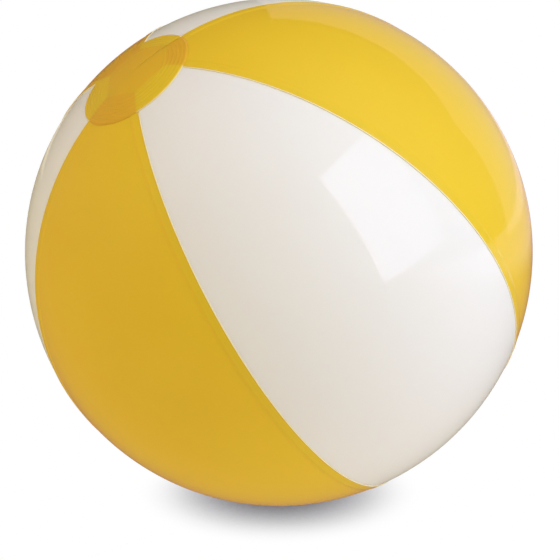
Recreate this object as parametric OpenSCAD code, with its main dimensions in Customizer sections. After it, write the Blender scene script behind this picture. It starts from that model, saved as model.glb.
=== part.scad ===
// Inflatable beach ball. Six film panels are lap-welded into a ball, yellow over white,
// an end cap covers the panel tips at each pole, and an air valve pushes in flush.
// Each piece is drawn with the pole axis on Z, then leaned over as the ball lies.
// The origin is the ball's centre, so the floor is half a ball below it.

/* [Ball] */
// Diameter of the inflated ball over its film
ball_d = 260; // [200:1:400]
// Thickness of the film
film_t = 0.25; // [0.2:0.05:0.4]
// Lean of the pole axis from upright, in degrees
pole_lean = 40.2; // [0:0.1:90]
// Heading that the front pole leans towards, in degrees from +X
pole_heading = 216.5; // [0:0.1:360]
// Turn of the panels about the pole axis, in degrees
panel_turn = 346.9; // [0:0.1:360]

/* [Seams] */
// Angle about the pole axis that a yellow panel shows, in degrees
yellow_angle = 63.8; // [58:0.1:66]
// Width at the ball's waist of the weld where a yellow panel laps over a white one
lap_w = 5; // [3:0.5:9]
// Width at the waist of the step up onto the lap
step_w = 0.4; // [0.3:0.05:0.8]
// Gap inside the lap between the edges of the two films, at the waist
edge_gap = 0.1; // [0.05:0.05:0.3]
// Width at the waist of the weld ridge along the edge of a lap
ridge_w = 1; // [0.6:0.1:1.5]
// Height of the weld ridge over the white film
ridge_h = 0.6; // [0.4:0.05:0.8]
// Diameter of the opening that the panel tips leave at a pole
tip_opening = 34; // [24:1:44]

/* [End caps] */
// Diameter of an end cap
cap_d = 60; // [54:1:90]
// Angle that the front cap is welded off its pole, further down the lean
cap_drift = 1.5; // [0:0.1:3]
// Thickness of an end cap
cap_t = 0.3; // [0.2:0.05:0.6]
// Number of weld rings on an end cap
cap_rings = 6; // [3:1:8]
// Distance between two weld rings
ring_pitch = 2.1; // [1.6:0.1:2.6]
// Radius of a weld ring's rounded ridge
ring_r = 0.3; // [0.2:0.05:0.5]

/* [Valve base] */
// Angle between the rear pole and the valve, in degrees
valve_from_pole = 35; // [28:1:60]
// Diameter of the base that is welded to its panel
base_d = 32; // [28:0.5:40]
// Thickness of the base
base_t = 0.5; // [0.3:0.05:0.8]
// Number of weld rings on the base
base_rings = 2; // [1:1:3]
// Diameter of the throat through the base and its panel
throat_d = 19; // [18:0.5:22]
// Thickness of the web that rolls over as the stem moves
web_t = 0.6; // [0.4:0.05:0.8]
// Depth of the web when the stem is pushed in
web_depth = 9; // [7:0.5:12]

/* [Valve stem] */
// Outer diameter of the stem
stem_d = 10; // [9:0.1:11]
// Diameter of the stem's bore
bore_d = 7; // [6:0.1:8]
// Length of the stem with its lip
stem_len = 15; // [13.5:0.5:18]
// Height of the lip's top above the film when the stem is pushed in
lip_proud = 1.5; // [1.4:0.1:2.5]
// Diameter of the lip
lip_d = 12; // [11.5:0.1:13]
// Thickness of the lip
lip_t = 1.2; // [1:0.1:1.3]
// Diameter of the collar that carries the web
collar_d = 12.6; // [12:0.1:13.5]
// Thickness of the collar
collar_t = 1; // [0.8:0.1:1.5]

/* [Plug, strap and flap] */
// Diameter of the plug's head
head_d = 12; // [11.5:0.1:13]
// Thickness of the plug's head
head_t = 1.8; // [1.6:0.1:2.5]
// Length of the plug's shank
shank_len = 7; // [5:0.5:9]
// Gap between the shank and the bore, all round
shank_gap = 0.05; // [0.02:0.01:0.1]
// Wall of the hollow shank
shank_wall = 1.1; // [0.8:0.1:1.6]
// Width of the pull tab
tab_w = 5; // [4:0.5:6]
// Length of the pull tab past the head
tab_len = 4; // [3:0.5:5]
// Thickness of the pull tab
tab_t = 1; // [0.8:0.1:1.4]
// Width of the strap that keeps the plug on the stem
strap_w = 3.6; // [3:0.1:4.5]
// Thickness of the strap
strap_t = 0.8; // [0.6:0.05:0.9]
// Length of each leg of the folded strap
strap_leg = 4; // [3:0.5:6]
// Length of the lugs that the strap grows from
lug_len = 1; // [0.8:0.1:1.5]
// Thickness of the check flap
flap_t = 0.7; // [0.5:0.1:1.2]
// Width of the stem's end that the flap leaves bare
flap_margin = 0.4; // [0.2:0.1:0.6]
// Width of the flap's hinge
hinge_w = 3; // [2:0.5:4]

/* [Hidden] */
yellow_film = "#E0B02C";
white_film = "#EFEDE6";
clear_vinyl = "#DDE3E6";
$fn = 180;
panel_count = 6;
panel_angle = 360 / panel_count;
mm_angle = 180 / (PI * ball_d / 2);
yellow_half = yellow_angle / 2;
seam_half = yellow_half - lap_w * mm_angle;
ball_r = ball_d / 2;
cap_r = cap_d / 2;
tip_r = tip_opening / 2;
// The laps and ridges begin where the drifted cap ends
lap_clear = ball_r * sin(asin(cap_r / ball_r) + cap_drift);
throat_r = throat_d / 2;
stem_r = stem_d / 2;
bore_r = bore_d / 2;
collar_r = collar_d / 2;
head_r = head_d / 2;
// Levels along the valve's axis, from the film's outer face
lip_base = lip_proud - lip_t;
stem_end = lip_proud - stem_len;
rim_top = sqrt(pow(ball_r + base_t, 2) - pow(throat_r, 2)) - ball_r;
rim_base = sqrt(pow(ball_r, 2) - pow(throat_r, 2)) - ball_r;
low_leg = lip_proud - lip_t / 2;
high_leg = lip_proud + head_t / 2;
// Where both lugs end and the strap begins, from the valve's axis
lug_end = max(lip_d, head_d) / 2 + lug_len;

// Leans a piece over from its drawing position, as the ball lies
module as_it_lies() {
    rotate([0, pole_lean, pole_heading])
        rotate([0, 0, panel_turn])
            children();
}

// Turns a panel drawn about +X into its place, counted round the front pole
module in_place(place) {
    rotate([0, 0, panel_angle * (place + 0.5)])
        children();
}

// Puts what is drawn about Z, with the film's outer face at zero, where the valve is
module at_valve() {
    rotate([0, 180 - valve_from_pole, 0])
        translate([0, 0, ball_r])
            children();
}

// Strip of a shell about the pole axis, from one angle to another about +X, between
// two radii, and no nearer to the axis than `clear`
module strip(from, to, inner, outer, clear) {
    rotate_extrude(angle = to - from, start = from)
        intersection() {
            difference() {
                circle(r = outer);
                circle(r = inner);
            }
            translate([clear, -ball_d])
                square([ball_d, 2 * ball_d]);
        }
}

// Yellow panel: its film ends beside the white ones, its edges step up over them, and
// a weld ridge stands along each edge. Each strip runs into the one before it.
module yellow_panel(place) {
    step = step_w * mm_angle;
    ridge = ridge_w * mm_angle;
    color(yellow_film)
        as_it_lies()
            in_place(place)
                union() {
                    strip(-seam_half, seam_half, ball_r - film_t, ball_r, tip_r);
                    for (side = [0, 1])
                        mirror([0, side, 0]) {
                            strip(seam_half - 2 * step, seam_half - step / 2,
                                ball_r - film_t / 2, ball_r + film_t, lap_clear);
                            strip(seam_half - step, yellow_half - ridge / 2,
                                ball_r, ball_r + film_t, lap_clear);
                            strip(yellow_half - ridge, yellow_half,
                                ball_r, ball_r + ridge_h, lap_clear);
                        }
                }
}

// White panel: one layer of film that reaches under the laps of its neighbours
module white_panel(place, has_valve = false) {
    white_half = panel_angle - seam_half - edge_gap * mm_angle;
    color(white_film)
        as_it_lies()
            in_place(place)
                difference() {
                    strip(-white_half, white_half, ball_r - film_t, ball_r, tip_r);
                    if (has_valve)
                        at_valve()
                            cylinder(r = throat_r, h = base_d, center = true);
                }
}

// Disc about Z that hugs the ball, with weld rings raised from its rim inwards. Each
// ring's section is rooted half way down into the disc.
module hugging_disc(disc_r, hole_r, thick, rings) {
    rotate_extrude() {
        intersection() {
            difference() {
                circle(r = ball_r + thick);
                circle(r = ball_r);
            }
            translate([hole_r, 0])
                square([disc_r - hole_r, ball_d]);
        }
        difference() {
            for (i = [0 : rings - 1])
                rotate(-asin((disc_r - 2 * ring_r - i * ring_pitch) / (ball_r + thick)))
                    translate([0, ball_r + thick])
                        circle(r = ring_r);
            circle(r = ball_r + thick / 2);
        }
    }
}

module end_cap(pole_side) {
    drift = pole_side == 0 ? cap_drift : 0;
    color(yellow_film)
        rotate([0, pole_lean + drift, pole_heading])
            rotate([180 * pole_side, 0, 0])
                hugging_disc(cap_r, 0, cap_t, cap_rings);
}

// Valve pieces share one place on their panel
module valve_piece() {
    color(clear_vinyl)
        as_it_lies()
            in_place(3)
                at_valve()
                    children();
}

module valve_base() {
    valve_piece()
        translate([0, 0, -ball_r])
            hugging_disc(base_d / 2, throat_r, base_t, base_rings);
}

// Thin cone from the base's throat down to the stem's collar
module valve_web() {
    valve_piece()
        rotate_extrude()
            polygon([
                [throat_r - web_t, rim_top],
                [throat_r, rim_top],
                [throat_r, rim_base],
                [collar_r, -web_depth],
                [collar_r - web_t, -web_depth]
            ]);
}

module valve_stem() {
    valve_piece()
        difference() {
            union() {
                translate([0, 0, stem_end])
                    cylinder(r = stem_r, h = stem_len);
                translate([0, 0, lip_base])
                    cylinder(d = lip_d, h = lip_t);
                translate([0, 0, -web_depth - collar_t])
                    cylinder(r = collar_r, h = collar_t);
                strap_lug(low_leg);
            }
            translate([0, 0, stem_end])
                cylinder(r = bore_r, h = 3 * stem_len, center = true);
        }
}

// Hollow shank in the bore, under a head with a rounded rim, a dished top and a tab
module valve_plug() {
    rim_r = head_t / 2;
    shank_r = bore_r - shank_gap;
    valve_piece()
        difference() {
            union() {
                rotate_extrude()
                    union() {
                        translate([0, lip_proud])
                            square([head_r - rim_r, head_t]);
                        translate([head_r - rim_r, high_leg])
                            intersection() {
                                circle(r = rim_r);
                                translate([-rim_r / 2, -rim_r])
                                    square(2 * rim_r);
                            }
                        translate([0, lip_proud - shank_len])
                            square([shank_r, shank_len + rim_r]);
                    }
                strap_lug(high_leg);
                translate([0, 0, high_leg - tab_t / 2])
                    linear_extrude(tab_t)
                        pull_tab_outline();
            }
            translate([0, 0, lip_proud - shank_len - rim_r])
                cylinder(r = shank_r - shank_wall, h = shank_len + rim_r);
        }
}

// Tongue with a round end, on the side away from the strap
module pull_tab_outline() {
    translate([-head_r - tab_len + tab_w / 2, 0])
        circle(d = tab_w);
    translate([-head_r - tab_len + tab_w / 2, -tab_w / 2])
        square([tab_len, tab_w]);
}

// Block on a rim that the strap grows from, at one leg's level
module strap_lug(level) {
    translate([bore_r + shank_wall, -strap_w / 2, level - strap_t / 2])
        cube([lug_end - bore_r - shank_wall, strap_w, strap_t]);
}

// Strap folded over on itself, from the lug on the lip to the lug on the head
module plug_strap() {
    fold_r = (high_leg - low_leg) / 2;
    valve_piece()
        rotate([90, 0, 0])
            linear_extrude(strap_w, center = true)
                union() {
                    for (level = [low_leg, high_leg])
                        translate([lug_end, level - strap_t / 2])
                            square([strap_leg, strap_t]);
                    translate([lug_end + strap_leg, low_leg + fold_r])
                        difference() {
                            circle(r = fold_r + strap_t / 2);
                            circle(r = fold_r - strap_t / 2);
                            translate([-2 * fold_r, -2 * fold_r])
                                square([2 * fold_r, 4 * fold_r]);
                        }
                }
}

// Disc that shuts the inner end of the bore and swings on its tab
module check_flap() {
    valve_piece()
        translate([0, 0, stem_end - flap_t])
            linear_extrude(flap_t)
                union() {
                    circle(r = stem_r - flap_margin);
                    translate([-stem_r, -hinge_w / 2])
                        square([stem_r, hinge_w]);
                }
}

yellow_panel(0);  // yellow_panel_1
yellow_panel(2);  // yellow_panel_2
yellow_panel(4);  // yellow_panel_3
white_panel(1);  // white_panel_1
white_panel(3, has_valve = true);  // white_panel_2
white_panel(5);  // white_panel_3
end_cap(0);  // front_end_cap
end_cap(1);  // rear_end_cap
valve_base();
valve_web();
valve_stem();
check_flap();
valve_plug();
plug_strap();
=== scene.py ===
# Inflatable beach ball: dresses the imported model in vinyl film, and lights it.
import math

import bmesh
import bpy
from mathutils import Matrix, Vector


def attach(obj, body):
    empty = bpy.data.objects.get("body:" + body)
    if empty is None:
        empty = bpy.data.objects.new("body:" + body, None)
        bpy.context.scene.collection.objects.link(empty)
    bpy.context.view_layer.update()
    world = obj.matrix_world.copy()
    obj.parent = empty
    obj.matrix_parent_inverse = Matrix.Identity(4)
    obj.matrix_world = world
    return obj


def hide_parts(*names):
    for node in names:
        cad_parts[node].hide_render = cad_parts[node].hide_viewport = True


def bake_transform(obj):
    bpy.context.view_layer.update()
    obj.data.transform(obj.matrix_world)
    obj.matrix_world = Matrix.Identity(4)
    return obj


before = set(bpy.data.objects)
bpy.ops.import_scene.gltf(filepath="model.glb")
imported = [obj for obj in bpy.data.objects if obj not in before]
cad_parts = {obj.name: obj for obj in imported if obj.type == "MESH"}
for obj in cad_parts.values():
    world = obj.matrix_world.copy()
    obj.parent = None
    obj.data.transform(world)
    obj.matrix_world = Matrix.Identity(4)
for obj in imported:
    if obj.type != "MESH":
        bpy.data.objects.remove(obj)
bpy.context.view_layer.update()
print("frame loaded:", len(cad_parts), "CAD nodes")

mm = 0.001

# How the ball lies. These repeat the source's values, so that each piece lands on its node.
ball = {
    "radius": 130 * mm,
    "poleLean": 40.2,      # degrees from upright
    "poleHeading": 216.5,  # degrees from +X
    "panelTurn": 346.9,    # degrees about the pole axis
    "panelCount": 6,
    "capRadius": 30 * mm,
    "capDrift": 1.5,       # degrees that the front cap sits off its pole
}


def turned(angle, axis):
    return Matrix.Rotation(math.radians(angle), 4, axis)


def leaned(drift):
    lean = turned(ball["poleLean"] + drift, "Y")
    return turned(ball["poleHeading"], "Z") @ lean @ turned(ball["panelTurn"], "Z")


asItLies = leaned(0)
capWay = leaned(ball["capDrift"])


def inPlace(place):
    # A panel is drawn about +X and turned into its place round the front pole
    return asItLies @ turned(360 / ball["panelCount"] * (place + 0.5), "Z")


closeness = {
    "gridPoints": 0.002 * mm,    # points of a film closer than this become one
    "turnedPoints": 0.001 * mm,  # and those of the valve's turned and flat parts
    "shortEdge": 0.0005 * mm,
    "firstWall": 0.01 * mm,      # wall that a film starts with, before its outer face moves out
}


def addPiece(name, mesh, place, material=None):
    mesh.transform(place)
    piece = bpy.data.objects.new(name, mesh)
    bpy.context.scene.collection.objects.link(piece)
    if material:
        mesh.materials.append(material)
    mesh.polygons.foreach_set("use_smooth", [True] * len(mesh.polygons))
    return piece


def mark(piece, **values):
    # Keeps a number for each point of the mesh, under the name its finish reads
    for label, numbers in values.items():
        layer = piece.data.attributes.new(label, "FLOAT", "POINT")
        layer.data.foreach_set("value", numbers)


def smoothed(share):
    return share * share * (3 - 2 * share)


def settled(name, tree, values, place):
    # Runs a geometry tree on an empty mesh and keeps the result as a plain mesh in its place
    holder = bpy.data.objects.new("holder", bpy.data.meshes.new("holder"))
    bpy.context.scene.collection.objects.link(holder)
    modifier = holder.modifiers.new("shape", "NODES")
    modifier.node_group = tree
    for item in tree.interface.items_tree:
        if item.in_out == "INPUT" and item.name in values:
            modifier[item.identifier] = values[item.name]
    graph = bpy.context.evaluated_depsgraph_get()
    mesh = bpy.data.meshes.new_from_object(holder.evaluated_get(graph), depsgraph=graph)
    bpy.data.objects.remove(holder)
    mesh.name = name
    return addPiece(name, mesh, place)


def startTree(name, inputs):
    tree = bpy.data.node_groups.new(name, "GeometryNodeTree")
    for label, kind in inputs:
        tree.interface.new_socket(label, in_out="INPUT", socket_type="NodeSocket" + kind)
    tree.interface.new_socket("Geometry", in_out="OUTPUT", socket_type="NodeSocketGeometry")
    given = tree.nodes.new("NodeGroupInput")
    return tree, {label: given.outputs[label] for label, _ in inputs}


def feed(tree, socket, value):
    if isinstance(value, bpy.types.NodeSocket):
        tree.links.new(value, socket)
    else:
        socket.default_value = value


def addNode(tree, kind, **sockets):
    # Adds a node, feeds the sockets named, and returns its first output
    node = tree.nodes.new(kind)
    for label, value in sockets.items():
        feed(tree, node.inputs[label], value)
    return node.outputs[0]


def operate(tree, kind, operation, values):
    node = tree.nodes.new(kind)
    node.operation = operation
    for socket, value in zip(node.inputs, values):
        feed(tree, socket, value)
    return node


def calc(tree, operation, *values):
    return operate(tree, "ShaderNodeMath", operation, values).outputs[0]


def vectorCalc(tree, operation, *values):
    node = operate(tree, "ShaderNodeVectorMath", operation, values)
    return node.outputs["Value" if operation in ("LENGTH", "DOT_PRODUCT") else "Vector"]


def total(tree, *values):
    result = values[0]
    for value in values[1:]:
        result = calc(tree, "ADD", result, value)
    return result


def ramp(tree, value, low, high, out=(0.0, 1.0), smooth=False):
    # Runs from out[0] to out[1] as value goes from low to high, and stays there past them
    node = tree.nodes.new("ShaderNodeMapRange")
    node.interpolation_type = "SMOOTHSTEP" if smooth else "LINEAR"
    node.clamp = True
    labels = ("Value", "From Min", "From Max", "To Min", "To Max")
    for label, given in zip(labels, (value, low, high, *out)):
        feed(tree, node.inputs[label], given)
    return node.outputs["Result"]


def apart(tree, vector):
    # The outputs X, Y and Z of a vector
    node = tree.nodes.new("ShaderNodeSeparateXYZ")
    tree.links.new(vector, node.inputs[0])
    return node.outputs


def halfRound(tree, distance, halfWidth, height):
    # Section of a bead: height at its middle, nothing past its half width
    share = calc(tree, "DIVIDE", distance, halfWidth)
    left = calc(tree, "MAXIMUM", calc(tree, "SUBTRACT", 1.0, calc(tree, "MULTIPLY", share, share)), 0.0)
    return calc(tree, "MULTIPLY", height, calc(tree, "SQRT", left))


def stored(tree, geometry, name, value):
    node = tree.nodes.new("GeometryNodeStoreNamedAttribute")
    node.data_type, node.domain = "FLOAT", "POINT"
    node.inputs["Name"].default_value = name
    tree.links.new(geometry, node.inputs["Geometry"])
    tree.links.new(value, node.inputs["Value"])
    return node.outputs["Geometry"]


def recalled(tree, name):
    node = tree.nodes.new("GeometryNodeInputNamedAttribute")
    node.data_type = "FLOAT"
    node.inputs["Name"].default_value = name
    return node.outputs["Attribute"]


def onSphere(tree, radius, colatitude, longitude):
    flat = calc(tree, "MULTIPLY", radius, calc(tree, "SINE", colatitude))
    node = tree.nodes.new("ShaderNodeCombineXYZ")
    tree.links.new(calc(tree, "MULTIPLY", flat, calc(tree, "COSINE", longitude)), node.inputs["X"])
    tree.links.new(calc(tree, "MULTIPLY", flat, calc(tree, "SINE", longitude)), node.inputs["Y"])
    tree.links.new(calc(tree, "MULTIPLY", radius, calc(tree, "COSINE", colatitude)), node.inputs["Z"])
    return node.outputs[0]


def paramGrid(tree, across, along):
    # Flat grid whose points remember how far across (-1 to 1) and along (0 to 1) they are
    node = tree.nodes.new("GeometryNodeMeshGrid")
    node.inputs["Size X"].default_value = 2
    node.inputs["Size Y"].default_value = 1
    tree.links.new(across, node.inputs["Vertices X"])
    tree.links.new(along, node.inputs["Vertices Y"])
    spot = apart(tree, tree.nodes.new("GeometryNodeInputPosition").outputs[0])
    grid = stored(tree, node.outputs["Mesh"], "across", spot["X"])
    return stored(tree, grid, "along", calc(tree, "ADD", spot["Y"], 0.5))


def moved(tree, geometry, position, selection=None):
    node = tree.nodes.new("GeometryNodeSetPosition")
    tree.links.new(geometry, node.inputs["Geometry"])
    tree.links.new(position, node.inputs["Position"])
    if selection:
        tree.links.new(selection, node.inputs["Selection"])
    return node.outputs[0]


def joinedPoints(tree, geometry):
    return addNode(tree, "GeometryNodeMergeByDistance", Geometry=geometry, Distance=closeness["gridPoints"])


def filmShell(tree, grid, inside, outside):
    # Closed film: the grid at its inner face, walls round its rim, and its outer face
    inner = joinedPoints(tree, moved(tree, grid, inside))
    node = tree.nodes.new("GeometryNodeExtrudeMesh")
    node.inputs["Individual"].default_value = False
    node.inputs["Offset Scale"].default_value = closeness["firstWall"]
    tree.links.new(inner, node.inputs["Mesh"])
    raised = moved(tree, node.outputs["Mesh"], outside, node.outputs["Top"])
    back = addNode(tree, "GeometryNodeFlipFaces", Mesh=inner)
    join = tree.nodes.new("GeometryNodeJoinGeometry")
    tree.links.new(raised, join.inputs[0])
    tree.links.new(back, join.inputs[0])
    return joinedPoints(tree, join.outputs[0])


def finishTree(tree, geometry, material):
    real = addNode(tree, "GeometryNodeRealizeInstances", Geometry=geometry)
    node = tree.nodes.new("GeometryNodeSetMaterial")
    tree.links.new(real, node.inputs["Geometry"])
    tree.links.new(material, node.inputs["Material"])
    tree.links.new(node.outputs[0], tree.nodes.new("NodeGroupOutput").inputs[0])
    return tree


film = {
    "yellow": (0.89, 0.72, 0.040, 1),
    "yellowLight": (0.91, 0.76, 0.045, 1),
    "yellowGlow": (0.92, 0.43, 0.012, 1),  # tint of light that comes through the film
    "yellowGrooveShade": (0.84, 0.58, 0.03, 1),    # painted shade in the groove beside the bead
    "bead": (0.98, 0.92, 0.62, 1),         # thin melted edge over the white film, pale with a painted highlight along its raised bead
    "beadHighlightGlow": (0.96, 0.90, 0.60, 1),
    "white": (0.93, 0.91, 0.90, 1),
    "whiteLight": (0.95, 0.93, 0.92, 1),
    "whiteGlow": (0.91, 0.92, 0.70, 1),
    "tip": (0.87, 0.59, 0.042, 1),         # cap over a yellow tip
    "tipGlow": (0.92, 0.42, 0.012, 1),
    "hub": (0.84, 0.62, 0.042, 1),         # cap alone, over the opening between the tips
    "hubGlow": (0.92, 0.47, 0.012, 1),
    "mottle": 0.65,                        # shares of the lighter colour in slow and in fine patches
    "mottleScale": 14,
    "fleck": 0.35,
    "fleckScale": 900,
    "through": 0.44,                       # share of light that goes through one face
    "ior": 1.5,
    "gloss": 0.85,                         # makes up for the share of light that goes through
    "roughness": 0.06,
    "roughSpread": 0.03,
    "roughScale": 60,
    "waviness": 0.02,
    "waveDepth": 1.2 * mm,
    "swellScale": 22,
    "grain": 0.02,
    "grainScale": 1400,
}


def startMaterial(name):
    material = bpy.data.materials.new(name)
    material.use_nodes = True
    tree = material.node_tree
    return material, tree, tree.nodes["Principled BSDF"]


def noise(tree, scale, detail=2.0, distortion=0.0):
    node = tree.nodes.new("ShaderNodeTexNoise")
    node.inputs["Scale"].default_value = scale
    node.inputs["Detail"].default_value = detail
    node.inputs["Distortion"].default_value = distortion
    tree.links.new(tree.nodes.new("ShaderNodeTexCoord").outputs["Object"], node.inputs["Vector"])
    return node.outputs["Fac"]


def mixed(tree, share, first, second):
    node = tree.nodes.new("ShaderNodeMix")
    node.data_type = "RGBA"
    for label, value in ((0, share), (6, first), (7, second)):
        feed(tree, node.inputs[label], value)
    return node.outputs[2]


def either(tree, share, first, second):
    node = tree.nodes.new("ShaderNodeMixShader")
    for socket, value in zip(node.inputs, (share, first, second)):
        feed(tree, socket, value)
    return node.outputs[0]


def attribute(tree, name):
    node = tree.nodes.new("ShaderNodeAttribute")
    node.attribute_name = name
    return node.outputs["Fac"]


def bumped(tree, shader, height, strength, distance):
    node = tree.nodes.new("ShaderNodeBump")
    node.inputs["Strength"].default_value = strength
    node.inputs["Distance"].default_value = distance
    tree.links.new(height, node.inputs["Height"])
    tree.links.new(node.outputs[0], shader.inputs["Normal"])


def filmMaterial(name, dark, light, glow, marks=()):
    # Glossy film that lets part of the light through. Each mark is an attribute, with the colour and
    # the glow that it lays over the film's own.
    material, tree, shader = startMaterial(name)
    mottle = ramp(tree, noise(tree, film["mottleScale"], 3), 0.3, 0.7, smooth=True)
    fleck = ramp(tree, noise(tree, film["fleckScale"], 2), 0.35, 0.65, out=(0.0, film["fleck"]))
    lightness = total(tree, calc(tree, "MULTIPLY", mottle, film["mottle"]), fleck)
    colour = mixed(tree, lightness, dark, light)
    inside = glow
    for label, tint, glowTint in marks:
        share = attribute(tree, label)
        colour = mixed(tree, share, colour, tint)
        inside = mixed(tree, share, inside, glowTint)
    tree.links.new(colour, shader.inputs["Base Color"])
    halfSpread = film["roughSpread"] / 2
    rough = ramp(tree, noise(tree, film["roughScale"], 4, 0.6), 0.3, 0.7,
                 out=(film["roughness"] - halfSpread, film["roughness"] + halfSpread))
    tree.links.new(rough, shader.inputs["Roughness"])
    shader.inputs["IOR"].default_value = film["ior"]
    shader.inputs["Specular IOR Level"].default_value = film["gloss"]
    # Slow swells of stretched film under a fine calendered grain
    swell = noise(tree, film["swellScale"], 1)
    grain = calc(tree, "MULTIPLY", noise(tree, film["grainScale"], 2), film["grain"])
    bumped(tree, shader, total(tree, swell, grain), film["waviness"], film["waveDepth"])
    behind = tree.nodes.new("ShaderNodeBsdfTranslucent")
    feed(tree, behind.inputs["Color"], inside)
    surface = either(tree, film["through"], shader.outputs[0], behind.outputs[0])
    tree.links.new(surface, tree.nodes["Material Output"].inputs["Surface"])
    return material


# painted highlight: pale colour along the raised weld bead, laid over the film's own
beadHighlight = ("weld", film["bead"], film["beadHighlightGlow"])
# The yellow film carries the painted shade in the groove beside the bead
yellowFilm = filmMaterial("yellowFilm", film["yellow"], film["yellowLight"], film["yellowGlow"],
                          (("lap", film["yellowGrooveShade"], film["yellowGlow"]), beadHighlight))
whiteFilm = filmMaterial("whiteFilm", film["white"], film["whiteLight"], film["whiteGlow"])
capFilm = filmMaterial("capFilm", film["yellow"], film["yellowLight"], film["yellowGlow"],
                       (("hub", film["hub"], film["hubGlow"]), ("overTip", film["tip"], film["tipGlow"]),
                        beadHighlight))

clear = {
    "colour": (0.86, 0.89, 0.90, 1),
    "shade": (0.76, 0.80, 0.82, 1),
    "cloudScale": 180,
    "ior": 1.48,
    "transmission": 0.35,
    "roughness": (0.17, 0.28),
    "roughScale": 500,
    "grain": 0.12,
    "grainScale": 900,
    "grainDepth": 0.15 * mm,
}


def clearMaterial():
    # Milky clear vinyl of the valve
    material, tree, shader = startMaterial("clearVinyl")
    cloud = ramp(tree, noise(tree, clear["cloudScale"], 3), 0.3, 0.7, smooth=True)
    tree.links.new(mixed(tree, cloud, clear["shade"], clear["colour"]), shader.inputs["Base Color"])
    rough = ramp(tree, noise(tree, clear["roughScale"], 2), 0.3, 0.7, out=clear["roughness"])
    tree.links.new(rough, shader.inputs["Roughness"])
    shader.inputs["IOR"].default_value = clear["ior"]
    shader.inputs["Transmission Weight"].default_value = clear["transmission"]
    bumped(tree, shader, noise(tree, clear["grainScale"], 2), clear["grain"], clear["grainDepth"])
    return material


clearVinyl = clearMaterial()
print("finishes made")

gore = {
    "yellowHalf": 31.9,        # degrees that a yellow panel reaches each side of its middle
    "whiteHalf": 30.25,        # the white one ends under the laps
    "tipRadius": 17 * mm,
    "filmThickness": 0.25 * mm,
    "lapWidth": 5 * mm,
    "lapRise": 0.30 * mm,
    "lapStep": 0.5 * mm,       # it steps up over this way on each side of its width
    "underCap": 0.1,           # share of the lap's rise that is left under the cap
    "capMargin": (0.1 * mm, 0.9 * mm),  # the rise ends between these, inside and outside the cap's rim
    "beadWidth": 0.55 * mm,
    "beadHeight": 0.12 * mm,
    "grooveDepth": 0.04 * mm,
    "groovePlace": 1.7,        # from the edge to the groove's middle, in bead widths
    "grooveHalf": 0.7,
    "shadeHalf": 0.8,          # half width of the painted shade line in the groove, in bead widths
    "shade": 0.45,
    "across": 77,              # columns and rows of points
    "along": 151,
    "lapColumns": 0.48,        # shares of the columns at which the lap's and the bead's begin
    "beadColumns": 0.66,
    "lapMargin": 1 * mm,       # film beside the lap that has the lap's columns
    "beadMargin": 2.4,         # width that has the bead's columns, in bead widths
}


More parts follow.
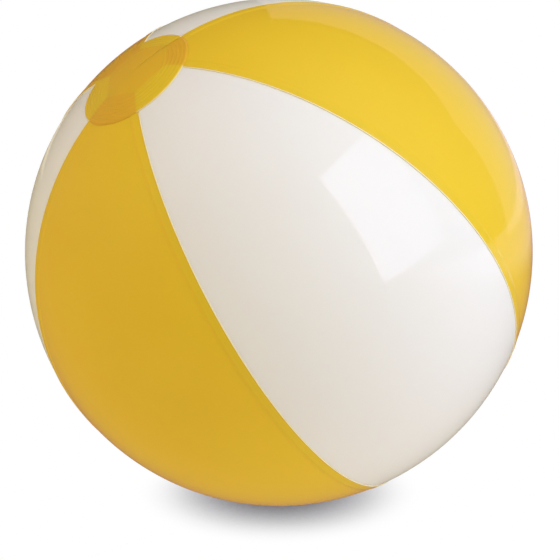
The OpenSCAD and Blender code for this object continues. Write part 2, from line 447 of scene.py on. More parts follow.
def goreTree():
    tree, given = startTree("gorePanel", (
        ("Ball Radius", "Float"), ("Half Angle", "Float"), ("Tip Radius", "Float"), ("Cap Radius", "Float"),
        ("Film Thickness", "Float"), ("Lap Width", "Float"), ("Lap Rise", "Float"), ("Bead Width", "Float"),
        ("Bead Height", "Float"), ("Groove Depth", "Float"), ("Cap Axis", "Vector"), ("Across", "Int"),
        ("Along", "Int"), ("Film", "Material")))
    grid = paramGrid(tree, given["Across"], given["Along"])
    across, along = recalled(tree, "across"), recalled(tree, "along")
    radius, beadWidth, lapWidth = given["Ball Radius"], given["Bead Width"], given["Lap Width"]
    # Down the meridian, from the rear tip to the front one
    tip = calc(tree, "ARCSINE", calc(tree, "DIVIDE", given["Tip Radius"], radius))
    span = calc(tree, "SUBTRACT", math.pi, calc(tree, "MULTIPLY", tip, 2.0))
    rearTip = calc(tree, "SUBTRACT", math.pi, tip)
    colatitude = calc(tree, "SUBTRACT", rearTip, calc(tree, "MULTIPLY", along, span))
    parallel = calc(tree, "MULTIPLY", radius, calc(tree, "SINE", colatitude))
    reach = calc(tree, "MULTIPLY", parallel, given["Half Angle"])
    # Across: wide columns on the film, closer ones on the lap, the closest on the bead
    beadZone = calc(tree, "MULTIPLY", beadWidth, gore["beadMargin"])
    lapZone = calc(tree, "SUBTRACT", calc(tree, "ADD", lapWidth, gore["lapMargin"]), beadZone)
    filmZone = calc(tree, "SUBTRACT", calc(tree, "SUBTRACT", reach, beadZone), lapZone)
    share = calc(tree, "ABSOLUTE", across)
    side = total(tree, ramp(tree, share, 0.0, gore["lapColumns"], (0.0, filmZone)),
                 ramp(tree, share, gore["lapColumns"], gore["beadColumns"], (0.0, lapZone)),
                 ramp(tree, share, gore["beadColumns"], 1.0, (0.0, beadZone)))
    fromEdge = calc(tree, "SUBTRACT", reach, side)
    longitude = calc(tree, "DIVIDE", calc(tree, "MULTIPLY", calc(tree, "SIGN", across), side), parallel)
    # Height over the ball: the lap steps up, a groove runs along the bead. Both end at the cap, which
    # sits round its own axis at the front and round the pole at the rear.
    onBall = onSphere(tree, radius, colatitude, longitude)
    fromFrontAxis = vectorCalc(tree, "LENGTH", vectorCalc(tree, "CROSS_PRODUCT", onBall, given["Cap Axis"]))
    atFront = calc(tree, "LESS_THAN", colatitude, math.pi / 2)
    atRear = calc(tree, "SUBTRACT", 1.0, atFront)
    fromCapAxis = total(tree, calc(tree, "MULTIPLY", atFront, fromFrontAxis),
                        calc(tree, "MULTIPLY", atRear, parallel))
    inMargin, outMargin = gore["capMargin"]
    clearOfCap = ramp(tree, fromCapAxis, calc(tree, "SUBTRACT", given["Cap Radius"], inMargin),
                      calc(tree, "ADD", given["Cap Radius"], outMargin), smooth=True)
    onLap = ramp(tree, fromEdge, calc(tree, "SUBTRACT", lapWidth, gore["lapStep"]),
                 calc(tree, "ADD", lapWidth, gore["lapStep"]), (1.0, 0.0), smooth=True)
    rise = calc(tree, "MULTIPLY", calc(tree, "MULTIPLY", given["Lap Rise"], onLap),
                ramp(tree, clearOfCap, 0.0, 1.0, (gore["underCap"], 1.0)))
    halfBead = calc(tree, "MULTIPLY", beadWidth, 0.5)
    bead = halfRound(tree, calc(tree, "SUBTRACT", fromEdge, halfBead), halfBead, given["Bead Height"])
    grooveMiddle = calc(tree, "MULTIPLY", beadWidth, gore["groovePlace"])
    fromGroove = calc(tree, "ABSOLUTE", calc(tree, "SUBTRACT", fromEdge, grooveMiddle))
    groove = ramp(tree, fromGroove, 0.0, calc(tree, "MULTIPLY", beadWidth, gore["grooveHalf"]),
                  (given["Groove Depth"], 0.0), smooth=True)
    relief = calc(tree, "MULTIPLY", calc(tree, "SUBTRACT", bead, groove), clearOfCap)
    outer = total(tree, radius, rise, relief)
    inner = calc(tree, "SUBTRACT", calc(tree, "ADD", radius, rise), given["Film Thickness"])
    shell = filmShell(tree, grid, onSphere(tree, inner, colatitude, longitude),
                      onSphere(tree, outer, colatitude, longitude))
    return finishTree(tree, shell, given["Film"])


goreShape = goreTree()


def paintEdges(piece, half, place, hasBead):
    # Marks the bead's painted highlight and the painted shade in the groove beside it on the film, from each
    # point's way to the seam
    back = place.inverted()
    capAxis = back.to_3x3() @ capWay.col[2].xyz
    weld, lap = [], []
    for vertex in piece.data.vertices:
        point = back @ vertex.co
        parallel = math.hypot(point.x, point.y)
        fromEdge = (math.radians(half) - abs(math.atan2(point.y, point.x))) * parallel
        beadWidths = fromEdge / gore["beadWidth"]
        fromCapAxis = point.cross(capAxis).length if point.z > 0 else parallel
        shown = hasBead and fromCapAxis > ball["capRadius"]
        fromGroove = abs(beadWidths - gore["groovePlace"]) / gore["shadeHalf"]
        # painted highlight on the bead along the film's edge
        weld.append(1.0 if shown and beadWidths < 1.02 else 0.0)
        # painted shade: a darker line along the groove beside the bead
        lap.append(gore["shade"] * max(0.0, 1.0 - fromGroove) if shown else 0.0)
    mark(piece, weld=weld, lap=lap)


def addGore(name, place, yellow):
    half = gore["yellowHalf"] if yellow else gore["whiteHalf"]
    spot = inPlace(place)
    piece = settled(name, goreShape, {
        "Ball Radius": ball["radius"], "Half Angle": math.radians(half), "Tip Radius": gore["tipRadius"],
        "Cap Radius": ball["capRadius"], "Film Thickness": gore["filmThickness"],
        "Lap Width": gore["lapWidth"], "Lap Rise": gore["lapRise"] if yellow else 0.0,
        "Bead Width": gore["beadWidth"], "Bead Height": gore["beadHeight"] if yellow else 0.0,
        "Groove Depth": gore["grooveDepth"] if yellow else 0.0,
        "Cap Axis": spot.inverted().to_3x3() @ capWay.col[2].xyz,
        "Across": gore["across"], "Along": gore["along"],
        "Film": yellowFilm if yellow else whiteFilm,
    }, spot)
    paintEdges(piece, half, spot, yellow)
    return piece


panels = {}
for index in range(ball["panelCount"] // 2):
    panels[f"yellow_panel_{index + 1}"] = addGore(f"yellow_gore_{index + 1}", 2 * index, True)
    panels[f"white_panel_{index + 1}"] = addGore(f"white_gore_{index + 1}", 2 * index + 1, False)
print("panels made:", len(panels))

disc = {
    "capThickness": 0.3 * mm,
    "capLift": 0.3 * mm,       # how far it stands off the panels inside its rim
    "capRings": 6,
    "ringPitch": 2.1 * mm,
    "ringRadius": 0.45 * mm,
    "ringHeight": 0.10 * mm,
    "firstRing": 0.9 * mm,     # from the rim
    "seatGap": 0.03 * mm,
    "liftWay": 1.2 * mm,       # from the rim to where it has its whole lift
    "rimRound": 0.35 * mm,
    "rimThinnest": 0.25,       # share of the thickness
    "around": 241,             # columns and rows of points
    "rows": 131,
    "ringRows": 0.15,          # share of the rows at which the rings' begin
    "tipCut": 16.5 * mm,       # from the pole to the panels' cut tips
    "tipHalf": 29.7,           # degrees that a yellow tip reaches each side of its middle
    "tipBlur": 1.2 * mm,
    "cutBlur": 1.6 * mm,
    "rimBlur": 0.3 * mm,
    "rimHighlight": 0.8,           # strength of the painted highlight on the rim
}


def discTree():
    tree, given = startTree("weldedDisc", (
        ("Ball Radius", "Float"), ("Disc Radius", "Float"), ("Hole Radius", "Float"), ("Thickness", "Float"),
        ("Lift", "Float"), ("Ring Count", "Float"), ("Ring Pitch", "Float"), ("Ring Radius", "Float"),
        ("Ring Height", "Float"), ("First Ring", "Float"), ("Around", "Int"), ("Rows", "Int"),
        ("Film", "Material")))
    grid = paramGrid(tree, given["Around"], given["Rows"])
    across, along = recalled(tree, "across"), recalled(tree, "along")
    radius = given["Ball Radius"]
    longitude = calc(tree, "MULTIPLY", across, -math.pi)
    # Wide rows in the middle, close ones over the weld rings
    ringSteps = calc(tree, "SUBTRACT", given["Ring Count"], 1.0)
    lastRing = calc(tree, "MULTIPLY", ringSteps, given["Ring Pitch"])
    ringZone = total(tree, lastRing, given["First Ring"], given["Ring Radius"])
    flatWidth = calc(tree, "SUBTRACT", given["Disc Radius"], given["Hole Radius"])
    middle = calc(tree, "SUBTRACT", flatWidth, ringZone)
    parallel = total(tree, given["Hole Radius"], ramp(tree, along, 0.0, disc["ringRows"], (0.0, middle)),
                     ramp(tree, along, disc["ringRows"], 1.0, (0.0, ringZone)))
    colatitude = calc(tree, "ARCSINE", calc(tree, "DIVIDE", parallel, radius))
    fromRim = calc(tree, "SUBTRACT", given["Disc Radius"], parallel)
    # Distance to the nearest weld ring
    count = calc(tree, "DIVIDE", calc(tree, "SUBTRACT", fromRim, given["First Ring"]), given["Ring Pitch"])
    nearest = calc(tree, "MINIMUM", calc(tree, "MAXIMUM", calc(tree, "ROUND", count), 0.0), ringSteps)
    fromRing = calc(tree, "ABSOLUTE", calc(tree, "SUBTRACT", count, nearest))
    ring = halfRound(tree, calc(tree, "MULTIPLY", fromRing, given["Ring Pitch"]), given["Ring Radius"],
                     given["Ring Height"])
    lift = calc(tree, "MULTIPLY", given["Lift"], ramp(tree, fromRim, 0.0, disc["liftWay"], smooth=True))
    # The rim is melted to a rounded edge
    edge = calc(tree, "SUBTRACT", 1.0, ramp(tree, fromRim, 0.0, disc["rimRound"]))
    rimRound = halfRound(tree, edge, 1.0, 1.0)
    thickness = calc(tree, "MULTIPLY", given["Thickness"],
                     ramp(tree, rimRound, 0.0, 1.0, (disc["rimThinnest"], 1.0)))
    inner = total(tree, radius, lift, disc["seatGap"])
    outer = total(tree, inner, thickness, ring)
    shell = filmShell(tree, grid, onSphere(tree, inner, colatitude, longitude),
                      onSphere(tree, outer, colatitude, longitude))
    return finishTree(tree, shell, given["Film"])


discShape = discTree()


def addDisc(name, place, radius, hole, thickness, lift, rings, material):
    return settled(name, discShape, {
        "Ball Radius": ball["radius"], "Disc Radius": radius, "Hole Radius": hole, "Thickness": thickness,
        "Lift": lift, "Ring Count": float(rings), "Ring Pitch": disc["ringPitch"],
        "Ring Radius": disc["ringRadius"], "Ring Height": disc["ringHeight"], "First Ring": disc["firstRing"],
        "Around": disc["around"], "Rows": disc["rows"], "Film": material,
    }, place)


def blurred(value, width):
    # From 0 to 1 as value passes nought, over a width
    return smoothed(min(max(value / width + 0.5, 0.0), 1.0))


def paintCap(piece, place, pole, tipTurn):
    # Marks where the cap lies over a yellow panel's tip, over the opening between the tips, and the painted
    # highlight at its rim
    back = pole.inverted()
    own = place.inverted()
    marks = {"overTip": [], "hub": [], "weld": []}
    for vertex in piece.data.vertices:
        point = back @ vertex.co
        parallel = math.hypot(point.x, point.y)
        turn = (math.degrees(math.atan2(point.y, point.x)) - tipTurn + 60) % 120 - 60
        sideways = math.radians(disc["tipHalf"] - abs(turn)) * parallel
        yellowCut = parallel * math.cos(math.radians(turn)) - disc["tipCut"]
        whiteCut = parallel * math.cos(math.radians(60 - abs(turn))) - disc["tipCut"]
        overTip = blurred(sideways, disc["tipBlur"]) * blurred(yellowCut, disc["cutBlur"])
        besideTip = blurred(-sideways, disc["tipBlur"])
        overWhite = besideTip * blurred(whiteCut, disc["cutBlur"])
        fromRim = (own @ vertex.co).xy.length - ball["capRadius"]
        rim = blurred(fromRim + disc["rimBlur"], disc["rimBlur"])
        marks["overTip"].append(overTip)
        marks["hub"].append(max(0.0, 1.0 - overTip - overWhite))
        # painted highlight along the cap's rim where it lies over the white film
        marks["weld"].append(disc["rimHighlight"] * rim * besideTip)
    mark(piece, **marks)


def addCap(name, place, pole, tipTurn):
    piece = addDisc(name, place, ball["capRadius"], 0.0, disc["capThickness"], disc["capLift"],
                    disc["capRings"], capFilm)
    paintCap(piece, place, pole, tipTurn)
    return piece


rearWay = asItLies @ turned(180, "X")
frontCap = addCap("front_cap", capWay, asItLies, 30)
rearCap = addCap("rear_cap", rearWay, rearWay, -30)

valve = {
    "fromPole": 35,            # degrees from the rear pole
    "panel": "white_panel_2",
    "place": 3,                # of that panel, round the front pole
    "steps": 96,               # round what is turned
}
base = {
    "radius": 16 * mm,
    "thickness": 0.5 * mm,
    "rings": 2,
    "throatRadius": 9.5 * mm,
    "throatInset": 0.2 * mm,   # how far the ring reaches into the throat
    "cutDepth": 12 * mm,
}
valveWay = inPlace(valve["place"]) @ turned(180 - valve["fromPole"], "Y")
atValve = valveWay @ Matrix.Translation((0, 0, ball["radius"]))
valveBase = addDisc("valve_base_ring", valveWay, base["radius"], base["throatRadius"] - base["throatInset"],
                    base["thickness"], 0.0, base["rings"], clearVinyl)
print("caps and base made")


def cutThroat(piece):
    # The valve's hole through its panel
    mesh = bpy.data.meshes.new("throatCutter")
    shape = bmesh.new()
    bmesh.ops.create_cone(shape, cap_ends=True, segments=valve["steps"], radius1=base["throatRadius"],
                          radius2=base["throatRadius"], depth=base["cutDepth"])
    shape.to_mesh(mesh)
    shape.free()
    cutter = addPiece("throatCutter", mesh, atValve)
    cut = piece.modifiers.new("throat", "BOOLEAN")
    cut.operation, cut.solver, cut.object = "DIFFERENCE", "EXACT", cutter
    graph = bpy.context.evaluated_depsgraph_get()
    result = bpy.data.meshes.new_from_object(piece.evaluated_get(graph), depsgraph=graph)
    piece.modifiers.clear()
    piece.data = result
    bpy.data.objects.remove(cutter)


cutThroat(panels[valve["panel"]])


def rounded(corners, steps=5):
    # Closed outline through corners (x, y, radius), each rounded to its radius
    points = []
    for index, (x, y, radius) in enumerate(corners):
        corner = Vector((x, y))
        before = Vector(corners[index - 1][:2]) - corner
        after = Vector(corners[(index + 1) % len(corners)][:2]) - corner
        if radius <= 0:
            points.append(corner)
            continue
        half = before.angle(after) / 2
        back = min(radius / math.tan(half), before.length * 0.49, after.length * 0.49)
        for step in range(steps + 1):
            share = step / steps
            first = corner + before.normalized() * back * (1 - share)
            second = corner + after.normalized() * back * share
            points.append(first.lerp(second, share))
    return points


def arc(radius, first, last, steps):
    # Points round the origin from one angle to another, in radians
    turns = [first + (last - first) * step / steps for step in range(steps + 1)]
    return [(radius * math.cos(turn), radius * math.sin(turn)) for turn in turns]


def closedPiece(name, shape):
    bmesh.ops.remove_doubles(shape, verts=shape.verts, dist=closeness["turnedPoints"])
    bmesh.ops.dissolve_degenerate(shape, edges=shape.edges, dist=closeness["shortEdge"])
    bmesh.ops.recalc_face_normals(shape, faces=shape.faces)
    mesh = bpy.data.meshes.new(name)
    shape.to_mesh(mesh)
    shape.free()
    return addPiece(name, mesh, atValve, clearVinyl)


def lathe(name, outline):
    # Turns an outline of (radius, level) about the valve's axis
    steps = valve["steps"]
    shape = bmesh.new()
    rings = []
    for step in range(steps):
        angle = 2 * math.pi * step / steps
        cosine, sine = math.cos(angle), math.sin(angle)
        rings.append([shape.verts.new((out * cosine, out * sine, level)) for out, level in outline])
    for step in range(steps):
        here, there = rings[step], rings[(step + 1) % steps]
        for index in range(len(outline)):
            after = (index + 1) % len(outline)
            shape.faces.new((here[index], there[index], there[after], here[after]))
    return closedPiece(name, shape)


def slab(name, outline, low, high, bevel, sharpAngle=1.0):
    # Flat plate from an outline, its edges rounded where they turn by more than sharpAngle, in radians
    shape = bmesh.new()
    face = shape.faces.new([shape.verts.new((x, y, low)) for x, y in outline])
    raised = bmesh.ops.extrude_face_region(shape, geom=[face])["geom"]
    lifted = [part for part in raised if isinstance(part, bmesh.types.BMVert)]
    bmesh.ops.translate(shape, vec=(0, 0, high - low), verts=lifted)
    bmesh.ops.recalc_face_normals(shape, faces=shape.faces)
    rim = [edge for edge in shape.edges if len(edge.link_faces) == 2 and edge.calc_face_angle(0) > sharpAngle]
    bmesh.ops.bevel(shape, geom=rim, offset=bevel, segments=3, profile=0.5, affect="EDGES",
                    clamp_overlap=True)
    return closedPiece(name, shape)


def joinedPieces(name, pieces):
    # One mesh of several closed parts that are in their place already
    shape = bmesh.new()
    for piece in pieces:
        shape.from_mesh(piece.data)
    mesh = bpy.data.meshes.new(name)
    shape.to_mesh(mesh)
    shape.free()
    for piece in pieces:
        bpy.data.objects.remove(piece)
    return addPiece(name, mesh, Matrix.Identity(4), clearVinyl)


stem = {
    "radius": 5 * mm,
    "boreRadius": 3.5 * mm,
    "length": 15 * mm,
    "lipProud": 1.5 * mm,      # of the ball's surface
    "lipRadius": 6 * mm,
    "lipThickness": 1.2 * mm,
    "lipRound": 0.35 * mm,
    "collarRadius": 6.3 * mm,
    "collarThickness": 1 * mm,
    "collarDepth": 9 * mm,
    "cornerRound": 0.3 * mm,
    "edgeRound": 0.25 * mm,
}
plug = {
    "headRadius": 6 * mm,
    "headThickness": 1.8 * mm,
    "headRound": 0.8 * mm,
    "headSeat": 0.02 * mm,     # gap over the lip
    "dishDepth": 0.35 * mm,
    "dishFloor": 0.62,         # shares of the head's radius
    "dishTop": 0.72,
    "shankLength": 7 * mm,
    "shankGap": 0.05 * mm,
    "shankWall": 1.1 * mm,
    "roof": 0.3 * mm,          # the hollow ends this far above the lip
    "neck": (2.4 * mm, 2.0 * mm, 1.2 * mm),  # levels above the shank's tip where a groove begins and ends
    "neckDepth": 0.25 * mm,
    "bulbGap": 0.05 * mm,
    "tipTaper": 0.4 * mm,
    "tabWidth": 5 * mm,
    "tabLength": 4 * mm,
    "tabThickness": 1 * mm,
    "tabRoot": 0.7,            # share of the head's radius
    "tabRound": 0.3 * mm,
    "ribs": 3,
    "firstRib": 0.9 * mm,      # from the head
    "ribPitch": 0.95 * mm,
    "ribHalfWidth": 0.22 * mm,
    "ribHalfLength": 1.5 * mm,
    "ribHeight": 0.25 * mm,
    "ribRoot": 0.1 * mm,
}
strap = {
    "width": 3.6 * mm,
    "thickness": 0.8 * mm,
    "leg": 4 * mm,
    "lugLength": 1 * mm,
    "lugRound": 0.15 * mm,
    "overlap": 0.1 * mm,       # of strap and lug
    "edgeRound": 0.25 * mm,
    "legSteps": 6,
    "foldSteps": 20,
}
lipBase = stem["lipProud"] - stem["lipThickness"]
stemEnd = stem["lipProud"] - stem["length"]
lowLeg = stem["lipProud"] - stem["lipThickness"] / 2
highLeg = stem["lipProud"] + plug["headThickness"] / 2
lugEnd = max(stem["lipRadius"], plug["headRadius"]) + strap["lugLength"]


def lug(name, level):
    # Block that the strap grows from, out of the stem's lip or the plug's head
    half, width = strap["thickness"] / 2, strap["width"] / 2
    inner, outer = stem["boreRadius"] + plug["shankWall"], lugEnd + strap["overlap"]
    outline = [(inner, -width), (outer, -width), (outer, width), (inner, width)]
    return slab(name, outline, level - half, level + half, strap["lugRound"])


def makeStem():
    radius, bore, collar = stem["radius"], stem["boreRadius"], stem["collarRadius"]
    collarTop = -stem["collarDepth"]
    collarBase = collarTop - stem["collarThickness"]
    edge, corner, lip = stem["edgeRound"], stem["cornerRound"], stem["lipRound"]
    outline = rounded([
        (bore, stem["lipProud"], edge), (stem["lipRadius"], stem["lipProud"], lip),
        (stem["lipRadius"], lipBase, lip), (radius, lipBase, corner),
        (radius, collarTop, corner), (collar, collarTop, edge),
        (collar, collarBase, edge), (radius, collarBase, corner),
        (radius, stemEnd, edge), (bore, stemEnd, edge)])
    return joinedPieces("valve_tube", [lathe("tube", outline), lug("tubeLug", lowLeg)])


def makePlug():
    head, corner = plug["headRadius"], 0.3 * mm
    top, seat = stem["lipProud"] + plug["headThickness"], stem["lipProud"] + plug["headSeat"]
    dish, roof = top - plug["dishDepth"], stem["lipProud"] + plug["roof"]
    shank = stem["boreRadius"] - plug["shankGap"]
    inner = shank - plug["shankWall"]
    tipLevel = stem["lipProud"] - plug["shankLength"]
    neckTop, neckBase, neckEnd = (tipLevel + level for level in plug["neck"])
    outline = rounded([
        (0, dish, 0), (head * plug["dishFloor"], dish, corner), (head * plug["dishTop"], top, corner),
        (head, top, plug["headRound"]), (head, seat, 0.6 * mm), (shank, seat, 0.1 * mm),
        (shank, neckTop, 0.2 * mm), (shank - plug["neckDepth"], neckBase, 0.2 * mm),
        (shank - plug["bulbGap"], neckEnd, corner), (shank - plug["tipTaper"], tipLevel, corner),
        (inner, tipLevel, stem["edgeRound"]), (inner, roof, corner), (0, roof, 0)])
    width, half = plug["tabWidth"] / 2, plug["tabThickness"] / 2
    tabEnd, tabRoot = -head - plug["tabLength"] + width, -head * plug["tabRoot"]
    tongue = [(tabEnd + x, y) for x, y in arc(width, math.pi / 2, 3 * math.pi / 2, 24)]
    tongue += [(tabRoot, -width), (tabRoot, width)]
    parts = [lathe("head", outline), lug("headLug", highLeg),
             slab("tab", tongue, highLeg - half, highLeg + half, plug["tabRound"])]
    tabTop, reach = highLeg + half, plug["ribHalfLength"]
    for index in range(plug["ribs"]):
        middle = -head - plug["firstRib"] - index * plug["ribPitch"]
        left, right = middle - plug["ribHalfWidth"], middle + plug["ribHalfWidth"]
        rib = [(left, -reach), (right, -reach), (right, reach), (left, reach)]
        parts.append(slab("rib", rib, tabTop - plug["ribRoot"], tabTop + plug["ribHeight"], 0.15 * mm))
    return joinedPieces("stopper", parts)


def makeStrap():
    # Flat strap with rounded edges, folded over from the lip's lug to the head's
    fold = (highLeg - lowLeg) / 2
    start, legSteps, foldSteps = lugEnd - strap["overlap"], strap["legSteps"], strap["foldSteps"]
    ways = [lugEnd + strap["leg"] * step / legSteps for step in range(1, legSteps + 1)]
    turns = [math.pi * step / foldSteps for step in range(1, foldSteps)]
    middle = Vector((lugEnd + strap["leg"], lowLeg + fold))
    path = [Vector((way, lowLeg)) for way in [start] + ways]
    path += [middle + fold * Vector((math.sin(turn), -math.cos(turn))) for turn in turns]
    path += [Vector((way, highLeg)) for way in ways[::-1] + [start]]
    half, width = strap["thickness"] / 2, strap["width"] / 2
    corners = ((-half, -width), (half, -width), (half, width), (-half, width))
    section = rounded([(x, y, strap["edgeRound"]) for x, y in corners], 3)
    shape = bmesh.new()
    rings = []
    for index, point in enumerate(path):
        way = (path[min(index + 1, len(path) - 1)] - path[max(index - 1, 0)]).normalized()
        out = Vector((way.y, -way.x))
        rings.append([shape.verts.new((point.x + out.x * spot.x, spot.y, point.y + out.y * spot.x))
                      for spot in section])
    for here, there in zip(rings, rings[1:]):
        for index in range(len(section)):
            after = (index + 1) % len(section)
            shape.faces.new((here[index], here[after], there[after], there[index]))
    shape.faces.new(rings[0])
    shape.faces.new(rings[-1][::-1])
    return closedPiece("folded_strap", shape)


web = {
    "thickness": 0.6 * mm,
    "rimInset": 0.3 * mm,      # from the throat
    "rimLift": 0.1 * mm,
    "rollAcross": 0.35,        # shares of the way in and of the way down that are eased
    "rollDown": 0.6,
    "steps": 32,
}


def makeWeb():
    # Thin cone that leaves the base's rim in a roll and lands on the collar
    rim, inward = base["throatRadius"] - web["rimInset"], stem["collarRadius"] - base["throatRadius"]
    drop = stem["collarDepth"] + web["rimLift"]
    last = web["steps"]
    path = []
    for step in range(last + 1):
        share = step / last
        across = web["rollAcross"] * smoothed(share) + (1 - web["rollAcross"]) * share
        down = web["rollDown"] * smoothed(share) + (1 - web["rollDown"]) * share
        path.append(Vector((rim + inward * across, web["rimLift"] - drop * down)))
    near, far = [], []
    for index, point in enumerate(path):
        way = path[min(index + 1, last)] - path[max(index - 1, 0)]
        out = Vector((-way.y, way.x)).normalized() * web["thickness"] / 2
        near.append(point - out)
        far.append(point + out)
    return lathe("rolling_web", near + far[::-1])


flap = {
    "thickness": 0.7 * mm,
    "margin": 0.4 * mm,        # inside the stem's edge
    "hingeWidth": 3 * mm,
    "seatGap": 0.01 * mm,
    "edgeRound": 0.15 * mm,
}


def makeFlap():
    reach, half = stem["radius"] - flap["margin"], flap["hingeWidth"] / 2
    turn = math.asin(half / reach)
    outline = arc(reach, turn - math.pi, math.pi - turn, 64)
    outline += [(-stem["radius"], half), (-stem["radius"], -half)]
    low, high = stemEnd - flap["thickness"], stemEnd - flap["seatGap"]
    return slab("air_flap", outline, low, high, flap["edgeRound"])


valveTube, stopper, rollingWeb = makeStem(), makePlug(), makeWeb()
foldedStrap, airFlap = makeStrap(), makeFlap()
print("valve made")


# What each piece rides on and stands for
for node, piece in panels.items():
    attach(piece, "ball")
    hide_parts(node)
for piece, body, node, slot in (
        (frontCap, "ball", "front_end_cap", "yellow_film"),
        (rearCap, "ball", "rear_end_cap", "yellow_film"),
        (valveBase, "ball", "valve_base", "clear_vinyl"),
        (valveTube, "stem", "valve_stem", "clear_vinyl"),
        (stopper, "plug", "valve_plug", "clear_vinyl"),
        (airFlap, "flap", "check_flap", "clear_vinyl")):
    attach(piece, body)
    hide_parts(node)
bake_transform(rollingWeb)
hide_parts("valve_web")
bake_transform(foldedStrap)
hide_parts("plug_strap")

view = {
    "elevation": 12,           # degrees that the camera looks down
    "distance": 0.80,          # metres from the ball's centre
    "lens": 99.1,
    "sensor": 36,
    "shiftX": 0.0021,
    "shiftY": -0.0496,
    "clip": (0.05, 50),
}


def addCamera():
    lift = math.radians(view["elevation"])
    data = bpy.data.cameras.new("camera")
    data.lens, data.sensor_width = view["lens"], view["sensor"]
    data.shift_x, data.shift_y = view["shiftX"], view["shiftY"]
    data.clip_start, data.clip_end = view["clip"]
    camera = bpy.data.objects.new("camera", data)
    camera.location = (0, -view["distance"] * math.cos(lift), view["distance"] * math.sin(lift))
    camera.rotation_euler = (math.pi / 2 - lift, 0, 0)
    bpy.context.scene.collection.objects.link(camera)
    bpy.context.scene.camera = camera


def bareMaterial(name):
    material = bpy.data.materials.new(name)
    material.use_nodes = True
    material.node_tree.nodes.clear()
    return material, material.node_tree


def showSurface(tree, shader):
    tree.links.new(shader, tree.nodes.new("ShaderNodeOutputMaterial").inputs["Surface"])


ground = {
    "level": -0.1301,
    "reach": 12.0,
    "shade": (0.93, 0.90, 0.94, 1),
    "darkest": 0.08,
    "shadeReach": 0.022,             # metres
    "shadeFall": 3.2,
    "shadeSamples": 16,
    "left": (1.42, 1.36, 1.04, 1),   # what the floor sends up to the ball
    "right": (1.26, 1.25, 1.45, 1),
    "sideReach": 0.4,                # metres from the middle to where each side has its whole tint
    "ahead": (0.40, 0.33, 0.14, 1),  # from the side of the camera
    "aheadReach": 0.5,
    "behindWay": (0.8, 0.6, 0),      # far behind the ball, to its right
    "behind": (0.6, 0.9),            # metres along that way
    "mirrored": (0.17, 0.60),        # share that the gloss shows, before those metres and past them
}


def floorMaterial():
    # Pale floor. Seen directly it washes out to white away from the ball, with a painted contact shadow under
    # it from ambient occlusion, and it sends a softer light up to the ball.
    material, tree = bareMaterial("studioFloor")
    path = tree.nodes.new("ShaderNodeLightPath").outputs
    # painted contact shadow: ambient occlusion darkens the white emission under the ball
    corner = tree.nodes.new("ShaderNodeAmbientOcclusion")
    corner.samples = ground["shadeSamples"]
    corner.inputs["Distance"].default_value = ground["shadeReach"]
    shade = calc(tree, "POWER", calc(tree, "SUBTRACT", 1.0, corner.outputs["AO"]), ground["shadeFall"])
    cloth = tree.nodes.new("ShaderNodeEmission")
    tree.links.new(mixed(tree, shade, (1, 1, 1, 1), ground["shade"]), cloth.inputs["Color"])
    tree.links.new(ramp(tree, shade, 0.0, 1.0, (1.0, ground["darkest"])), cloth.inputs["Strength"])
    spot = tree.nodes.new("ShaderNodeTexCoord").outputs["Object"]
    away = vectorCalc(tree, "LENGTH", vectorCalc(tree, "MULTIPLY", spot, (1, 1, 0)))
    ahead = calc(tree, "DIVIDE", calc(tree, "MINIMUM", apart(tree, spot)["Y"], 0.0), away)
    aheadShare = calc(tree, "MULTIPLY", calc(tree, "MULTIPLY", ahead, ahead),
                      ramp(tree, away, 0.0, ground["aheadReach"], smooth=True))
    rightShare = ramp(tree, apart(tree, spot)["X"], -ground["sideReach"], ground["sideReach"])
    sides = mixed(tree, rightShare, ground["left"], ground["right"])
    bounce = tree.nodes.new("ShaderNodeEmission")
    tree.links.new(mixed(tree, aheadShare, sides, ground["ahead"]), bounce.inputs["Color"])
    behind = vectorCalc(tree, "DOT_PRODUCT", spot, ground["behindWay"])
    mirrored = ramp(tree, behind, *ground["behind"], ground["mirrored"])
    tree.links.new(ramp(tree, path["Is Glossy Ray"], 0.0, 1.0, (1.0, mirrored)), bounce.inputs["Strength"])
    showSurface(tree, either(tree, path["Is Camera Ray"], bounce.outputs[0], cloth.outputs[0]))
    return material


def addSheet(name, corners, material, seen=True):
    # Flat sheet of the studio. The first two corners have U 0, V 0 and 1.
    mesh = bpy.data.meshes.new(name)
    mesh.from_pydata(corners, [], [(0, 1, 2, 3)])
    layer = mesh.uv_layers.new(name="UVMap")
    for loop, spot in zip(layer.data, ((0, 0), (0, 1), (1, 1), (1, 0))):
        loop.uv = spot
    mesh.materials.append(material)
    sheet = bpy.data.objects.new(name, mesh)
    bpy.context.scene.collection.objects.link(sheet)
    sheet.visible_camera = seen


def addFloor():
    reach, level = ground["reach"], ground["level"]
    corners = [(-reach, -reach, level), (reach, -reach, level), (reach, reach, level), (-reach, reach, level)]
    addSheet("floor", corners, floorMaterial())


softbox = {
    "corners": [(0.919, -0.999, -0.060), (0.360, -0.952, 0.869),
                (0.728, -0.405, 1.107), (1.343, -0.387, 0.188)],
    "tint": (0.66, 0.69, 1.0, 1),
    "strength": 3.2,
    "fade": (0.15, 0.3),       # share of its U at which it starts to dim, and what is left of it at the end
}
backWall = {
    "corners": [(2.16, 1.2, -0.08), (2.16, 1.2, 1.35), (-0.05, 1.2, 1.25), (-0.05, 1.2, -0.08)],
    "tint": (1, 1, 1, 1),
    "strength": 0.40,
}


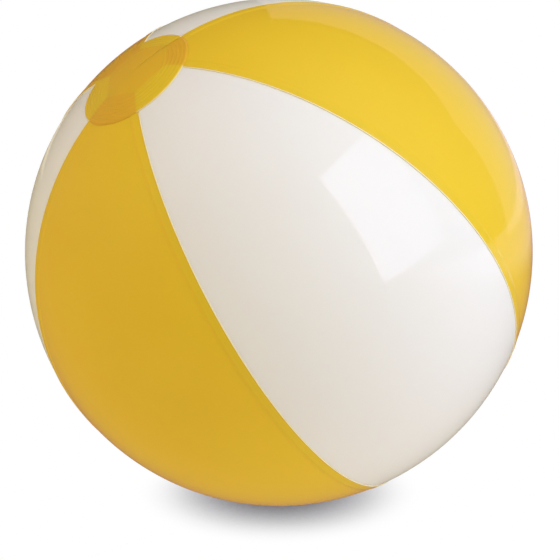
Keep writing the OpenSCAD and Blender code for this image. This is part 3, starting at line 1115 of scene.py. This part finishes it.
def glowMaterial(name, lamp):
    # Thin lit cloth that holds back none of the light behind it
    material, tree = bareMaterial(name)
    glow = tree.nodes.new("ShaderNodeEmission")
    strength = lamp["strength"]
    if "fade" in lamp:
        fadeFrom, left = lamp["fade"]
        along = apart(tree, tree.nodes.new("ShaderNodeTexCoord").outputs["UV"])["X"]
        strength = ramp(tree, along, fadeFrom, 1.0, (strength, strength * left))
    feed(tree, glow.inputs["Color"], lamp["tint"])
    feed(tree, glow.inputs["Strength"], strength)
    cloth = tree.nodes.new("ShaderNodeAddShader")
    tree.links.new(glow.outputs[0], cloth.inputs[0])
    tree.links.new(tree.nodes.new("ShaderNodeBsdfTransparent").outputs[0], cloth.inputs[1])
    showSurface(tree, cloth.outputs[0])
    return material


def addLamp(name, lamp):
    addSheet(name, lamp["corners"], glowMaterial(name + "Cloth", lamp), seen=False)


air = {
    "lamps": (                 # way to each soft lamp in the air, and its light
        ((-1.0, 0.0, 0.12), (1.23, 1.06, 1.20)),
        ((-0.87, -0.5, 0.12), (0.27, 0.21, 0.55)),
        ((-0.7, 0.7, 0.12), (1.73, 1.80, 1.58)),
        ((-0.5, -0.5, 0.7), (1.42, 1.36, 0.92)),
        ((0.0, 0.0, 1.0), (0.51, 0.42, 0.80)),
        ((0.7, 0.0, 0.7), (0.99, 1.13, 1.28)),
        ((0.5, -0.5, 0.7), (1.66, 1.89, 1.88)),
        ((0.87, -0.5, 0.12), (1.82, 2.07, 2.60)),
    ),
    "spread": 7,               # higher keeps each lamp narrower
    "mirrored": 0.12,          # share of the lamps that the gloss shows
    "behindWay": (0.55, 0.83, 0.05),
    "behind": (0.30, 0.42, 0.42),  # glow behind the ball, in the gloss alone
}


def lobe(tree, way, heading, strength):
    # Strength of the light from a soft lamp that lies in one heading
    facing = vectorCalc(tree, "DOT_PRODUCT", way, Vector(heading).normalized())
    narrow = calc(tree, "POWER", calc(tree, "MAXIMUM", facing, 0.0), air["spread"])
    return calc(tree, "MULTIPLY", narrow, strength)


def addWorld():
    # Soft lamps round the ball in dark air. Seen directly, the air is as pale as the floor.
    world = bpy.data.worlds.new("studioAir")
    bpy.context.scene.world = world
    world.use_nodes = True
    tree = world.node_tree
    way = tree.nodes.new("ShaderNodeTexCoord").outputs["Generated"]
    path = tree.nodes.new("ShaderNodeLightPath").outputs
    direct = ramp(tree, path["Is Glossy Ray"], 0.0, 1.0, (1.0, air["mirrored"]))
    parts = [(colour, lobe(tree, way, heading, direct)) for heading, colour in air["lamps"]]
    parts.append((air["behind"], lobe(tree, way, air["behindWay"], path["Is Glossy Ray"])))
    light = (0.0, 0.0, 0.0)
    for colour, strength in parts:
        lamp = vectorCalc(tree, "SCALE", colour)
        feed(tree, lamp.node.inputs["Scale"], strength)
        light = vectorCalc(tree, "ADD", light, lamp)
    seen = mixed(tree, path["Is Camera Ray"], light, (1, 1, 1, 1))
    tree.links.new(seen, tree.nodes["Background"].inputs["Color"])


addCamera()
addFloor()
addWorld()
addLamp("softbox", softbox)
addLamp("backWall", backWall)
bpy.context.scene.view_settings.view_transform = "Standard"
print("studio made")
